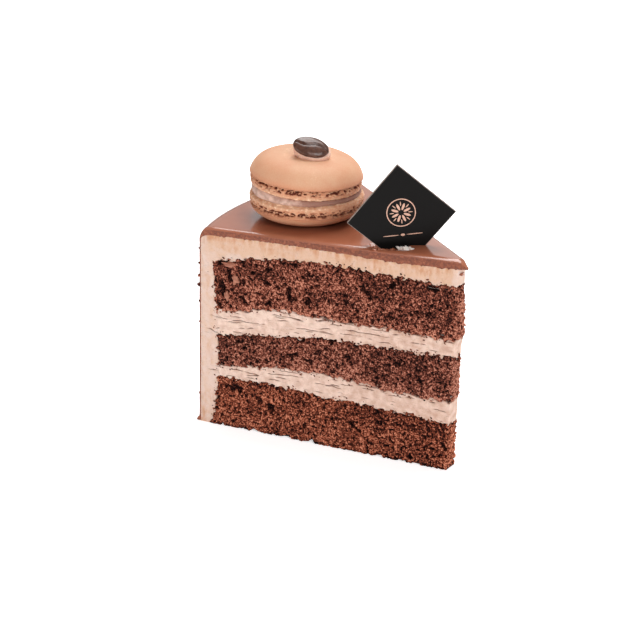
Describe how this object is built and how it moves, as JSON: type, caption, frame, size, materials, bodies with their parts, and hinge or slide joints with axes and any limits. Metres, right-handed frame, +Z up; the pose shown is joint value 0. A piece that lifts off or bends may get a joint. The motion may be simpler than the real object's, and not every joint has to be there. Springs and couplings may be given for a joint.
{
  "type": "slice of chocolate layer cake",
  "caption": "Wedge of chocolate layer cake with cream fillings and a milk chocolate glaze, topped with a macaron, a coffee bean and a dark square plaque.",
  "frame": {"origin": "under the middle of the bounding box, on the table", "axes": "+Z up; the shown cut faces -Y and lies along X, with the point of the slice at +X and the glazed outside at -X"},
  "size_m": [0.1016, 0.0884, 0.1057],
  "materials": {
    "sponge": "open dark chocolate crumb, matte",
    "cream": "pale chocolate cream, satin, with drag marks",
    "glaze": "glossy milk chocolate",
    "macaron_shell": "smooth matte baked shell",
    "macaron_cream": "satin cream",
    "bean": "oily dark roast",
    "plaque": "dark chocolate, satin"
  },
  "bodies": {
    "root": {"sponge_bottom": "sponge", "sponge_middle": "sponge", "sponge_top": "sponge", "cream_lower": "cream", "cream_upper": "cream", "cream_coat": "cream", "glaze": "glaze", "macaron_shell_lower": "macaron_shell", "macaron_shell_upper": "macaron_shell", "macaron_filling": "macaron_cream", "bean_dab": "macaron_cream", "coffee_bean": "bean", "plaque": "plaque"}
  },
  "joints": []
}
